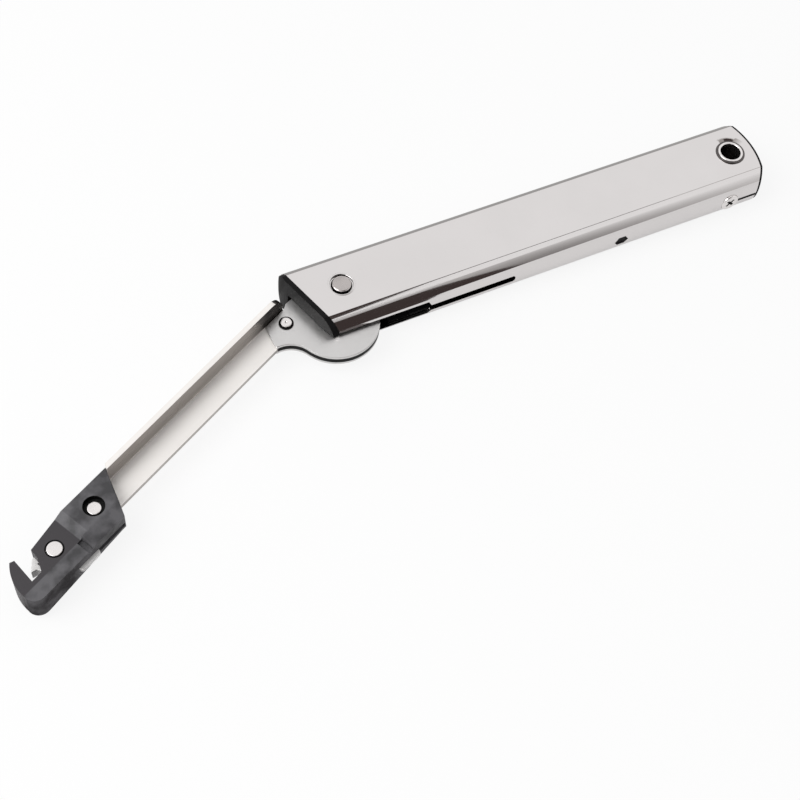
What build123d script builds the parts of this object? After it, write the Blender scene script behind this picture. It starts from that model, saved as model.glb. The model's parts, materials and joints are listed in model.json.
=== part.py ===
"""Lid stay: a sprung casing with a swinging lever, an angle arm and a snap hook at the arm's end.

Millimetres. +Z is up and the casing's bottom is at z = 0. The origin is on the axis of the casing's
pin bore. The casing runs towards -X, and the lever swings out of its -Y side.
"""

import os
from math import acos, atan2, cos, degrees, hypot, pi, radians, sin, sqrt, tan

from build123d import *

# ---- Driving dimensions -------------------------------------------------------------------

# Casing: a flat tube with bulged sides
casing_height = 20.0
casing_width = 33.6
casing_flat_width = 23.0
casing_wall = 1.2
lever_end_x = -188.7
lever_end_slant = 17.5
lever_end_turn_back = 1.3
bore_end_apex = 9.3
bore_end_radius = 34.0

# Openings in the casing's sides
slot_height = 7.4
slot_end_x = -144.0
slot_taper = 1.2
web_slot_height = 3.4
web_slot_end_x = -107.5
web_slot_bevel = 0.8
lobe_window_start_x = -180.0
lobe_window_end_x = -148.0
stake_hole_x = -59.3
stake_hole_length = 6.2
stake_hole_height = 4.3
tongue_slit_height = 1.5

# Pin bore and what lines it
bore_diameter = 8.2
bush_rim_diameter = 10.3
sleeve_diameter = 11.9
dish_diameter = 15.7
dish_depth = 0.6
sleeve_sink = 0.35

# End caps and end block
cap_proud_lever_end = 2.0
cap_proud_near_side = 1.3
cap_round_start_y = 7.5
cap_round_middle = (13.5, 1.0)
cap_set_in_far_side = 0.8
cap_proud_bore_end = 1.0
cap_insert_depth = 2.5
cap_inset = 0.25
cap_slot_end_y = 7.8
cap_slot_height = 5.0
bore_block_length = 22.0

# Retaining screw in the casing's side
screw_x = -7.7
screw_head_diameter = 7.8
screw_head_thickness = 2.0
screw_head_proud = 0.35
screw_head_rounding = 0.5
screw_shank_diameter = 3.5
screw_shank_length = 8.0
recess_width = 1.1
recess_span = 4.2
recess_depth = 1.1
recess_taper = 12.0

# Pivot
pivot_x = -174.75
pivot_shaft_diameter = 7.0
pivot_head_diameter = 7.3
pivot_head_proud = 0.7
pivot_head_rounding = 0.6
pivot_ring_diameter = 10.6
pivot_groove_diameter = 9.0
pivot_groove_depth = 0.7
pivot_bush_wall = 1.5

# Lever: two plates with a core between them
plate_thickness = 1.2
core_thickness = 2.0
hub_radius = 12.0
lobe_along = 9.75
lobe_across = 5.5
notch_along = 36.3
notch_across = 6.0
notch_radius = 9.8
lever_tip_along = 33.5
lever_tip_across = -4.2
lever_tip_back_along = 29.4
lever_back_across = -12.5
lever_shoulder_along = 16.2
lever_shoulder_across = -13.6
lever_shoulder_step = 2.3
hub_leave_angle = 262.0

# Arm: an angle of sheet steel
arm_heading = 207.03
arm_web_edge = -3.3
arm_outer_edge = -15.2
arm_drop = 0.4
arm_inner_bend = 0.5
arm_inner_end = 8.0
flange_start = 18.5
flange_corner_radius = 6.5
arm_outer_end = 130.0

# Rivets that hold the arm between the plates
outer_rivet_place = (23.0, -7.7)
inner_rivet_place = (11.0, -6.5)
lever_rivet_diameter = 3.2
lever_rivet_ring_diameter = 5.7
lever_rivet_ring_height = 0.4
lever_rivet_head_diameter = 4.5
lever_rivet_head_height = 0.9
lever_rivet_head_taper = 8.0
punch_mark_diameter = 0.9
punch_mark_depth = 0.3
punch_mark_taper = 30.0

# Hook: two moulded shells, in the arm's own frame (along the arm, across it)
hook_start = 111.5
hook_rear_rise = 7.5
hook_front_rise = 5.5
hook_rear_drop = 2.2
hook_front_drop = 6.8
hook_slope_start = 123.0
hook_slope_end = 158.5
hook_step_along = 137.2
hook_ramp_length = 3.5
hook_rear_far = (112.2, -15.0)
hook_far_bend = (137.2, -15.0)
hook_far_front = (150.3, -13.2)
mouth_upper_rear = (150.9, -9.8)
mouth_inner_rear = (153.7, -4.9)
mouth_inner_front = (158.2, -4.9)
jaw_inner_tip = (156.6, -14.6)
jaw_outer_tip = (158.2, -15.3)
jaw_flank = (162.3, -9.6)
jaw_nose = (163.8, -3.1)
jaw_corner = (162.9, 0.6)
hook_side_front = (159.4, 2.2)
hook_side_rear = (121.2, 2.2)
ridge_across = -3.1
ridge_fall = 1.6
groove_start = 136.6
groove_width = 2.2
groove_depth = 1.2
hook_edge_break = 0.3

# Hook rivets
rear_rivet_place = (125.6, -7.7)
rear_rivet_head_diameter = 5.15
rear_recess_diameter = 7.8
rear_recess_depth = 2.3
front_rivet_place = (145.0, -7.5)
front_rivet_head_diameter = 5.75
front_recess_diameter = 6.7
front_recess_depth = 0.6
hook_rivet_shaft_diameter = 4.0
hook_rivet_head_height = 0.7
hook_rivet_head_taper = 12.0

# Catch: a flat slide with a nose in the hook's mouth and a tab in the hook's side
catch_travel = 4.2
catch_back_along = 138.5
catch_front_along = 142.6
catch_far_across = -12.5
catch_finger_across = -9.8
catch_inner_across = -0.6
nose_back_along = 151.4
nose_tip = (155.1, -9.2)
nose_notch = (153.1, -8.6)
nose_near = (152.6, -7.0)
nose_drop = 4.0
tab_start = 134.4
tab_length = 9.4
tab_proud = 1.3
side_slit_start = 121.6
side_slit_height = 2.5
catch_spring_diameter = 3.2
catch_spring_wire = 0.45
catch_spring_coils = 5
catch_spring_across = -7.5

# Spring drive inside the casing
roller_diameter = 10.0
roller_pin_diameter = 4.0
fork_nose = 3.5
fork_slot_height = 5.4
follower_length = 24.0
follower_relief_depth = 2.6
rod_seat_depth = 5.0
rod_overrun = 14.0
abutment_length = 14.0
lug_proud = 0.4
main_spring_wire = 2.4
spring_side_gap = 0.7
main_spring_pitch = 5.2

# Clearances
running_gap = 0.05
slide_gap = 0.1
seat_gap = 0.15
moving_gap = 0.3

# ---- Derived sizes ------------------------------------------------------------------------

mid_height = casing_height / 2
half_width = casing_width / 2
inner_bottom = casing_wall
inner_top = casing_height - casing_wall
beyond = casing_width
core_bottom = mid_height - core_thickness / 2
core_top = mid_height + core_thickness / 2
lever_bottom = core_bottom - plate_thickness
lever_top = core_top + plate_thickness
pivot_bush_diameter = pivot_shaft_diameter + 2 * running_gap + 2 * pivot_bush_wall
lobe_distance = hypot(lobe_along, lobe_across)
lobe_angle = degrees(atan2(lobe_across, lobe_along))
notch_from_lobe = hypot(notch_along - lobe_along, notch_across - lobe_across)
notch_angle = degrees(atan2(notch_across - lobe_across, notch_along - lobe_along))
lobe_radius = notch_from_lobe - notch_radius
roller_x = pivot_x + hub_radius + slide_gap + roller_diameter / 2
follower_front_x = roller_x - fork_nose
follower_back_x = follower_front_x + follower_length
abutment_start_x = stake_hole_x - abutment_length / 2
arm_thickness = core_thickness
arm_top = casing_height - arm_drop
bore_side_x = bore_end_apex - bore_end_radius + sqrt(bore_end_radius**2 - half_width**2)
main_spring_diameter = casing_height - 2 * casing_wall - 2 * spring_side_gap
rod_diameter = main_spring_diameter - 2 * main_spring_wire - 2 * spring_side_gap
hook_rear_top = mid_height + hook_rear_rise
hook_front_top = mid_height + hook_front_rise
hook_rear_bottom = mid_height - hook_rear_drop
hook_bottom = mid_height - hook_front_drop
nose_bottom = mid_height - nose_drop

arm_plane = Plane(
    origin=(pivot_x, 0, 0),
    x_dir=(cos(radians(arm_heading)), sin(radians(arm_heading)), 0),
    z_dir=(0, 0, 1),
)
arm_side = Plane(origin=arm_plane.origin, x_dir=arm_plane.x_dir, z_dir=-arm_plane.y_dir)


def across_arm(along):
    """Plane across the arm at a distance from the pivot: its x is sideways and its y is up."""
    origin = arm_plane.from_local_coords((along, 0, 0))
    return Plane(origin=origin, x_dir=arm_plane.y_dir, z_dir=arm_plane.x_dir)


def arm_pin_plane(place, height):
    """Plane for a round feature of the arm or hook: it stands at a place in the arm's frame."""
    return Plane(
        origin=arm_plane.from_local_coords((place[0], place[1], height)),
        x_dir=arm_plane.x_dir,
        z_dir=(0, 0, 1),
    )


# ---- Shared outlines ----------------------------------------------------------------------


def tube_section(inset):
    """Cross-section of the casing, drawn a distance inside its outer face."""
    half_flat = casing_flat_width / 2
    with BuildLine() as outline:
        Line((-half_flat, 0), (half_flat, 0))
        ThreePointArc((half_flat, 0), (half_width, mid_height), (half_flat, casing_height))
        Line((half_flat, casing_height), (-half_flat, casing_height))
        ThreePointArc((-half_flat, casing_height), (-half_width, mid_height), (-half_flat, 0))
    make_face(outline.edges())
    if inset:
        offset(amount=-inset, kind=Kind.INTERSECTION)


def lever_end_point(across, out):
    """Point in plan on the slanted line across the lever end, moved a distance out of the casing."""
    return (lever_end_x - across * tan(radians(lever_end_slant)) - out, across)


def lever_end_band(start, end, mode=Mode.ADD):
    """Plan of a band along the lever end, from start to end, counted into the casing."""
    half_flat = casing_flat_width / 2
    edge = half_width + beyond
    turned = lever_end_turn_back * (edge - half_flat) / (half_width - half_flat)
    with BuildLine() as outline:
        Polyline(
            lever_end_point(-edge, -turned - start),
            lever_end_point(-half_flat, -start),
            lever_end_point(half_flat, -start),
            lever_end_point(edge, -turned - start),
            lever_end_point(edge, -turned - end),
            lever_end_point(half_flat, -end),
            lever_end_point(-half_flat, -end),
            lever_end_point(-edge, -turned - end),
            close=True,
        )
    make_face(outline.edges(), mode=mode)


def bore_end_band(start, end):
    """Plan of a band along the round bore end, from start to end, counted out of the casing."""
    centre_x = bore_end_apex - bore_end_radius
    edge = half_width
    inner = bore_end_radius + start
    outer = bore_end_radius + end
    inner_x = centre_x + sqrt(inner**2 - edge**2)
    outer_x = centre_x + sqrt(outer**2 - edge**2)
    with BuildLine() as outline:
        ThreePointArc((inner_x, -edge), (centre_x + inner, 0), (inner_x, edge))
        Line((inner_x, edge), (outer_x, edge))
        ThreePointArc((outer_x, edge), (centre_x + outer, 0), (outer_x, -edge))
        Line((outer_x, -edge), (inner_x, -edge))
    make_face(outline.edges())


def lever_outline():
    """Outline of the lever in the arm's frame: hub, shoulder, tip, round notch and big lobe."""
    meet = (lobe_distance**2 + hub_radius**2 - lobe_radius**2) / (2 * lobe_distance)
    hub_start = lobe_angle + degrees(acos(meet / hub_radius))
    hub_meet = (hub_radius * cos(radians(hub_start)), hub_radius * sin(radians(hub_start)))
    lobe_end = degrees(atan2(hub_meet[1] - lobe_across, hub_meet[0] - lobe_along))
    leave = radians(hub_leave_angle)
    hub_leave = (hub_radius * cos(leave), hub_radius * sin(leave))
    notch_rise = sqrt(notch_radius**2 - (notch_along - lever_tip_along) ** 2)
    notch_start = (lever_tip_along, notch_across - notch_rise)
    notch_to = degrees(atan2(-notch_rise, lever_tip_along - notch_along))
    notch_turn = (notch_angle - 180) - notch_to
    with BuildLine() as outline:
        Polyline(
            hub_leave,
            (lever_shoulder_along, lever_shoulder_across),
            (lever_shoulder_along + lever_shoulder_step, lever_back_across),
            (lever_tip_back_along, lever_back_across),
            (lever_tip_along, lever_tip_across),
            notch_start,
        )
        CenterArc((notch_along, notch_across), notch_radius, notch_to, notch_turn)
        CenterArc((lobe_along, lobe_across), lobe_radius, notch_angle, lobe_end - notch_angle)
        CenterArc((0, 0), hub_radius, hub_start, hub_leave_angle - hub_start)
    make_face(outline.edges())


def hook_outline():
    """Outline of the hook in the arm's frame, with its mouth open to the far side."""
    with BuildLine() as outline:
        Polyline(hook_rear_far, hook_far_bend, hook_far_front, mouth_upper_rear, mouth_inner_rear)
        Line(mouth_inner_rear, mouth_inner_front)
        Line(mouth_inner_front, jaw_inner_tip)
        Line(jaw_inner_tip, jaw_outer_tip)
        ThreePointArc(jaw_outer_tip, jaw_flank, jaw_nose)
        ThreePointArc(jaw_nose, jaw_corner, hook_side_front)
        Line(hook_side_front, hook_side_rear)
        Line(hook_side_rear, hook_rear_far)
    make_face(outline.edges())


def hook_rear_edge(across):
    """Distance from the pivot of the hook's slanted rear edge, at a place across the arm."""
    slant = (hook_side_rear[0] - hook_rear_far[0]) / (hook_side_rear[1] - hook_rear_far[1])
    return hook_rear_far[0] + (across - hook_rear_far[1]) * slant


def catch_outline(gap, travel):
    """Outline of the catch's body and finger; travel lengthens it towards the arm."""
    back = catch_back_along - travel - gap
    front = catch_front_along + gap
    far = catch_far_across - gap
    finger = catch_finger_across + gap
    with BuildLine() as outline:
        Polyline(
            (back, far),
            (nose_back_along + gap, far),
            (nose_back_along + gap, finger),
            (front, finger),
            (front, catch_inner_across + gap),
            (back, catch_inner_across + gap),
            close=True,
        )
    make_face(outline.edges())


def stake_outline(inset):
    """Six-sided outline of the hole for the abutment's lug, drawn a distance inside its edge."""
    half_length = stake_hole_length / 2
    half_height = stake_hole_height / 2
    with BuildLine() as outline:
        Polyline(
            (stake_hole_x - half_length, mid_height),
            (stake_hole_x - half_length / 2, mid_height - half_height),
            (stake_hole_x + half_length / 2, mid_height - half_height),
            (stake_hole_x + half_length, mid_height),
            (stake_hole_x + half_length / 2, mid_height + half_height),
            (stake_hole_x - half_length / 2, mid_height + half_height),
            close=True,
        )
    make_face(outline.edges())
    if inset:
        offset(amount=-inset, kind=Kind.INTERSECTION)


# ---- Casing -------------------------------------------------------------------------------

with BuildPart() as casing:
    with BuildSketch(Plane.YZ.offset(lever_end_x - beyond)):
        tube_section(0)
    extrude(amount=bore_end_apex - lever_end_x + 2 * beyond)
    with BuildSketch(Plane.XY):
        lever_end_band(-2 * beyond, 0)
    extrude(amount=casing_height, mode=Mode.SUBTRACT)
    with BuildSketch(Plane.XY):
        bore_end_band(0, 2 * beyond)
    extrude(amount=casing_height, mode=Mode.SUBTRACT)
    with BuildSketch(Plane.YZ.offset(lever_end_x - beyond)):
        tube_section(casing_wall)
    extrude(amount=bore_end_apex - lever_end_x + 2 * beyond, mode=Mode.SUBTRACT)
    # slot in the near side: wide for the lever, narrow for the arm's web
    with BuildSketch(Plane.XZ.offset(beyond)):
        with BuildLine():
            Polyline(
                (lever_end_x - beyond, mid_height - slot_height / 2),
                (slot_end_x - slot_taper, mid_height - slot_height / 2),
                (slot_end_x, mid_height - web_slot_height / 2),
                (web_slot_end_x - web_slot_bevel, mid_height - web_slot_height / 2),
                (web_slot_end_x, mid_height - web_slot_height / 2 + web_slot_bevel),
                (web_slot_end_x, mid_height + web_slot_height / 2 - web_slot_bevel),
                (web_slot_end_x - web_slot_bevel, mid_height + web_slot_height / 2),
                (slot_end_x, mid_height + web_slot_height / 2),
                (slot_end_x - slot_taper, mid_height + slot_height / 2),
                (lever_end_x - beyond, mid_height + slot_height / 2),
                close=True,
            )
        make_face()
    extrude(amount=-beyond, mode=Mode.SUBTRACT)
    # window in the far side, where the lobe passes when the arm is folded
    with BuildSketch(Plane.XZ.offset(-beyond)):
        with Locations(((lobe_window_start_x + lobe_window_end_x) / 2, mid_height)):
            Rectangle(lobe_window_end_x - lobe_window_start_x, slot_height)
    extrude(amount=beyond, mode=Mode.SUBTRACT)
    # six-sided hole for the abutment's lug, then the screw's hole and the slit for the cap's tongue
    with BuildSketch(Plane.XZ.offset(beyond)):
        stake_outline(0)
        with Locations((screw_x, mid_height)):
            Circle(screw_head_diameter / 2 + running_gap)
        with Locations(((screw_x + beyond) / 2, mid_height)):
            Rectangle(beyond - screw_x, tongue_slit_height)
    extrude(amount=-beyond, mode=Mode.SUBTRACT)
    # dished holes round the pin bore, and plain holes for the pivot rings
    with BuildSketch(Plane.XY):
        Circle(sleeve_diameter / 2)
        with Locations((pivot_x, 0)):
            Circle(pivot_ring_diameter / 2)
    extrude(amount=casing_height, mode=Mode.SUBTRACT)
    for face_height, into in ((0, 1), (casing_height, -1)):
        with BuildSketch(Plane.XZ):
            with BuildLine():
                Polyline(
                    (0, face_height),
                    (dish_diameter / 2, face_height),
                    (sleeve_diameter / 2, face_height + into * dish_depth),
                    (0, face_height + into * dish_depth),
                    close=True,
                )
            make_face()
        revolve(axis=Axis.Z, mode=Mode.SUBTRACT)
casing.part.label = "casing"

# ---- End caps and the block in the bore end -----------------------------------------------

with BuildPart() as lever_end_cap:
    # the proud part, with a straight front that rounds off towards the far side
    with BuildSketch(Plane.XY):
        with BuildLine():
            far_corner = lever_end_point(half_width, -cap_set_in_far_side)
            Polyline(
                (lever_end_x + beyond, half_width),
                (lever_end_x + beyond, -half_width),
                lever_end_point(-half_width, cap_proud_near_side),
                lever_end_point(-casing_flat_width / 2, cap_proud_lever_end),
                lever_end_point(cap_round_start_y, cap_proud_lever_end),
            )
            ThreePointArc(
                lever_end_point(cap_round_start_y, cap_proud_lever_end),
                lever_end_point(*cap_round_middle),
                far_corner,
            )
            Line(far_corner, (lever_end_x + beyond, half_width))
        make_face()
        lever_end_band(0, 3 * beyond, Mode.SUBTRACT)
    extrude(amount=casing_height)
    with BuildSketch(Plane.YZ.offset(lever_end_x - beyond)):
        tube_section(cap_inset)
    extrude(amount=2 * beyond, mode=Mode.INTERSECT)
    # the part inside the casing
    with BuildPart(mode=Mode.ADD):
        with BuildSketch(Plane.XY):
            lever_end_band(0, cap_insert_depth)
        extrude(amount=casing_height)
        with BuildSketch(Plane.YZ.offset(lever_end_x - beyond)):
            tube_section(casing_wall + slide_gap)
        extrude(amount=2 * beyond, mode=Mode.INTERSECT)
    # slot for the lever and the arm, open on the near side
    with BuildSketch(Plane.XY.offset(mid_height - cap_slot_height / 2)):
        with Locations((lever_end_x, cap_slot_end_y)):
            Rectangle(2 * beyond, 2 * beyond, align=(Align.CENTER, Align.MAX))
    extrude(amount=cap_slot_height, mode=Mode.SUBTRACT)
lever_end_cap.part.label = "lever_end_cap"

with BuildPart() as bore_end_cap:
    with BuildSketch(Plane.XY):
        bore_end_band(-cap_insert_depth, 0)
    extrude(amount=casing_height)
    with BuildSketch(Plane.YZ):
        tube_section(casing_wall + slide_gap)
    extrude(amount=beyond, mode=Mode.INTERSECT)
    with BuildSketch(Plane.XY):
        bore_end_band(0, cap_proud_bore_end)
    extrude(amount=casing_height)
    # tongue that fills the slit beside the screw
    with BuildSketch(Plane.XY.offset(mid_height - tongue_slit_height / 2 + running_gap)):
        with Locations((screw_x + screw_head_diameter / 2 + seat_gap, -half_width)):
            Rectangle(
                bore_side_x + cap_proud_bore_end - screw_x - screw_head_diameter / 2 - seat_gap,
                casing_wall,
                align=(Align.MIN, Align.MIN),
            )
    extrude(amount=tongue_slit_height - 2 * running_gap)
    with BuildSketch(Plane.YZ.offset(screw_x)):
        tube_section(cap_inset)
    extrude(amount=beyond, mode=Mode.INTERSECT)
bore_end_cap.part.label = "bore_end_cap"

with BuildPart() as bore_block:
    with BuildSketch(Plane.YZ.offset(bore_end_apex - cap_insert_depth - bore_block_length)):
        tube_section(casing_wall + slide_gap)
    extrude(amount=bore_block_length)
    with BuildSketch(Plane.XY):
        bore_end_band(-cap_insert_depth, beyond)
    extrude(amount=casing_height, mode=Mode.SUBTRACT)
    with BuildSketch(Plane.XY):
        Circle(sleeve_diameter / 2)
    extrude(amount=casing_height, mode=Mode.SUBTRACT)
    screw_seat = half_width + screw_head_proud - screw_head_thickness
    with BuildSketch(Plane.XZ.offset(screw_seat)):
        with Locations((screw_x, mid_height)):
            Circle(screw_head_diameter / 2 + running_gap)
    extrude(amount=beyond, mode=Mode.SUBTRACT)
    with BuildSketch(Plane.XZ.offset(screw_seat - screw_shank_length)):
        with Locations((screw_x, mid_height)):
            Circle(screw_shank_diameter / 2)
    extrude(amount=beyond, mode=Mode.SUBTRACT)
bore_block.part.label = "bore_block"

with BuildPart() as bore_bush:
    with BuildSketch(Plane.XY):
        Circle(bush_rim_diameter / 2)
        Circle(bore_diameter / 2, mode=Mode.SUBTRACT)
    extrude(amount=casing_height)
    chamfer(bore_bush.edges().filter_by(GeomType.CIRCLE).sort_by(SortBy.RADIUS)[-2:], slide_gap)
bore_bush.part.label = "bore_bush"

with BuildPart() as bore_sleeve:
    with BuildSketch(Plane.XY.offset(sleeve_sink)):
        Circle(sleeve_diameter / 2)
        Circle(bush_rim_diameter / 2, mode=Mode.SUBTRACT)
    extrude(amount=casing_height - 2 * sleeve_sink)
bore_sleeve.part.label = "bore_sleeve"

with BuildPart() as retaining_screw:
    with BuildSketch(Plane.XZ.offset(screw_seat - screw_shank_length)):
        with Locations((screw_x, mid_height)):
            Circle(screw_shank_diameter / 2)
    extrude(amount=screw_shank_length)
    with BuildSketch(Plane.XZ.offset(screw_seat)):
        with Locations((screw_x, mid_height)):
            Circle(screw_head_diameter / 2)
    extrude(amount=screw_head_thickness)
    fillet(retaining_screw.edges().group_by(Axis.Y)[0], screw_head_rounding)
    # cross recess
    with BuildSketch(Plane.XZ.offset(screw_seat + screw_head_thickness)):
        with Locations((screw_x, mid_height)):
            Rectangle(recess_span, recess_width, rotation=45)
            Rectangle(recess_span, recess_width, rotation=-45)
    extrude(amount=-recess_depth, taper=recess_taper, mode=Mode.SUBTRACT)
retaining_screw.part.label = "retaining_screw"

# ---- Pivot --------------------------------------------------------------------------------

pivot_centre = Plane(origin=(pivot_x, 0, 0))
pivot_axis = Axis((pivot_x, 0, 0), (0, 0, 1))

with BuildPart() as pivot_rivet:
    head_seat = casing_height - pivot_groove_depth
    head_top = casing_height + pivot_head_proud
    foot_seat = pivot_groove_depth
    with BuildSketch(Plane(origin=(pivot_x, 0, 0), x_dir=(1, 0, 0), z_dir=(0, -1, 0))):
        with BuildLine():
            Polyline(
                (0, 0),
                (pivot_head_diameter / 2, 0),
                (pivot_head_diameter / 2, foot_seat),
                (pivot_shaft_diameter / 2, foot_seat),
                (pivot_shaft_diameter / 2, head_seat),
                (pivot_head_diameter / 2, head_seat),
                (pivot_head_diameter / 2, head_top),
                (0, head_top),
                close=True,
            )
        make_face()
    revolve(axis=pivot_axis)
    fillet(pivot_rivet.edges().group_by(Axis.Z)[-1], pivot_head_rounding)
pivot_rivet.part.label = "pivot_rivet"


def pivot_ring(bottom, groove_bottom):
    """Ring in the casing's wall, with a groove round the rivet's head."""
    with BuildSketch(pivot_centre.offset(bottom)) as profile:
        Circle(pivot_ring_diameter / 2)
        Circle(pivot_shaft_diameter / 2, mode=Mode.SUBTRACT)
    extrude(profile.sketch, amount=casing_wall)
    with BuildSketch(pivot_centre.offset(groove_bottom)) as profile:
        Circle(pivot_groove_diameter / 2)
    extrude(profile.sketch, amount=pivot_groove_depth, mode=Mode.SUBTRACT)


with BuildPart() as pivot_ring_upper:
    pivot_ring(inner_top, casing_height - pivot_groove_depth)
pivot_ring_upper.part.label = "pivot_ring_upper"

with BuildPart() as pivot_ring_lower:
    pivot_ring(0, 0)
pivot_ring_lower.part.label = "pivot_ring_lower"

with BuildPart() as pivot_spacer_upper:
    with BuildSketch(pivot_centre.offset(lever_top + slide_gap)):
        Circle(pivot_ring_diameter / 2)
        Circle(pivot_shaft_diameter / 2, mode=Mode.SUBTRACT)
    extrude(amount=inner_top - lever_top - slide_gap)
pivot_spacer_upper.part.label = "pivot_spacer_upper"

with BuildPart() as pivot_spacer_lower:
    with BuildSketch(pivot_centre.offset(inner_bottom)):
        Circle(pivot_ring_diameter / 2)
        Circle(pivot_shaft_diameter / 2, mode=Mode.SUBTRACT)
    extrude(amount=lever_bottom - slide_gap - inner_bottom)
pivot_spacer_lower.part.label = "pivot_spacer_lower"

with BuildPart() as pivot_bush:
    with BuildSketch(pivot_centre.offset(lever_bottom)):
        Circle(pivot_bush_diameter / 2)
        Circle(pivot_shaft_diameter / 2 + running_gap, mode=Mode.SUBTRACT)
    extrude(amount=lever_top - lever_bottom)
pivot_bush.part.label = "pivot_bush"

# ---- Lever --------------------------------------------------------------------------------


def lever_layer(bottom, thickness):
    """One layer of the lever, with the holes for the pivot bush and the arm's rivets."""
    with BuildSketch(arm_plane.offset(bottom)) as profile:
        lever_outline()
        Circle(pivot_bush_diameter / 2, mode=Mode.SUBTRACT)
        with Locations(outer_rivet_place, inner_rivet_place):
            Circle(lever_rivet_diameter / 2, mode=Mode.SUBTRACT)
    extrude(profile.sketch, amount=thickness)


with BuildPart() as lever_plate_upper:
    lever_layer(core_top, plate_thickness)
lever_plate_upper.part.label = "lever_plate_upper"

with BuildPart() as lever_plate_lower:
    lever_layer(lever_bottom, plate_thickness)
lever_plate_lower.part.label = "lever_plate_lower"

with BuildPart() as cam_core:
    lever_layer(core_bottom, core_thickness)
    # the arm's web takes the core's place on one side
    with BuildSketch(arm_plane.offset(core_bottom)):
        with Locations((arm_inner_end - slide_gap, arm_web_edge + slide_gap)):
            Rectangle(beyond, beyond, align=(Align.MIN, Align.MAX))
    extrude(amount=core_thickness, mode=Mode.SUBTRACT)
cam_core.part.label = "cam_core"


def lever_rivet_shank(place):
    """Shank of a rivet through the lever, level with its plates."""
    with BuildSketch(arm_pin_plane(place, lever_bottom)) as profile:
        Circle(lever_rivet_diameter / 2)
    extrude(profile.sketch, amount=lever_top - lever_bottom)


with BuildPart() as arm_rivet_outer:
    lever_rivet_shank(outer_rivet_place)
    # a low ring with a raised head on each side, and a punch mark on top
    for foot, turn in ((lever_top, 1), (lever_bottom, -1)):
        with BuildSketch(arm_pin_plane(outer_rivet_place, foot)):
            Circle(lever_rivet_ring_diameter / 2)
        extrude(amount=turn * lever_rivet_ring_height)
        with BuildSketch(arm_pin_plane(outer_rivet_place, foot)):
            Circle(lever_rivet_head_diameter / 2)
        extrude(amount=turn * lever_rivet_head_height, taper=lever_rivet_head_taper)
    with BuildSketch(arm_pin_plane(outer_rivet_place, lever_top + lever_rivet_head_height)):
        Circle(punch_mark_diameter / 2)
    extrude(amount=-punch_mark_depth, taper=punch_mark_taper, mode=Mode.SUBTRACT)
arm_rivet_outer.part.label = "arm_rivet_outer"

with BuildPart() as arm_rivet_inner:
    lever_rivet_shank(inner_rivet_place)
arm_rivet_inner.part.label = "arm_rivet_inner"

# ---- Arm ----------------------------------------------------------------------------------

with BuildPart() as arm:
    flange_inner = arm_outer_edge + arm_thickness
    with BuildSketch(across_arm(arm_inner_end)):
        with BuildLine():
            Polyline(
                (arm_web_edge, core_bottom),
                (arm_web_edge, core_top),
                (flange_inner + arm_inner_bend, core_top),
            )
            ThreePointArc(
                (flange_inner + arm_inner_bend, core_top),
                (
                    flange_inner + arm_inner_bend * (1 - cos(pi / 4)),
                    core_top + arm_inner_bend * (1 - sin(pi / 4)),
                ),
                (flange_inner, core_top + arm_inner_bend),
            )
            bend = arm_thickness + arm_inner_bend
            Polyline(
                (flange_inner, core_top + arm_inner_bend),
                (flange_inner, arm_top),
                (arm_outer_edge, arm_top),
                (arm_outer_edge, core_bottom + bend),
            )
            ThreePointArc(
                (arm_outer_edge, core_bottom + bend),
                (
                    arm_outer_edge + bend * (1 - cos(pi / 4)),
                    core_bottom + bend * (1 - sin(pi / 4)),
                ),
                (arm_outer_edge + bend, core_bottom),
            )
            Line((arm_outer_edge + bend, core_bottom), (arm_web_edge, core_bottom))
        make_face()
    extrude(amount=arm_outer_end - arm_inner_end)
    # the flange stops short of both ends: round beside the lever, slanted along the hook
    with BuildSketch(arm_plane):
        with Locations((arm_inner_end, flange_inner + arm_inner_bend)):
            Rectangle(flange_start - arm_inner_end, beyond, align=(Align.MIN, Align.MAX))
        with BuildLine():
            Polyline(
                (hook_rear_edge(flange_inner + arm_inner_bend) - slide_gap, flange_inner + arm_inner_bend),
                (hook_rear_edge(-beyond) - slide_gap, -beyond),
                (arm_outer_end, -beyond),
                (arm_outer_end, flange_inner + arm_inner_bend),
                close=True,
            )
        make_face()
    extrude(amount=beyond, mode=Mode.SUBTRACT)
    across_axis = Axis(arm_plane.origin, arm_plane.y_dir)
    top_corners = arm.edges().filter_by(across_axis).group_by(Axis.Z)[-1]
    fillet(top_corners.sort_by_distance(arm_plane.origin)[0], flange_corner_radius)
    with BuildSketch(arm_plane):
        with Locations(outer_rivet_place, inner_rivet_place):
            Circle(lever_rivet_diameter / 2)
        with Locations(rear_rivet_place):
            Circle(hook_rivet_shaft_diameter / 2)
    extrude(amount=casing_height, mode=Mode.SUBTRACT)
arm.part.label = "arm"

# ---- Hook ---------------------------------------------------------------------------------


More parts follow.
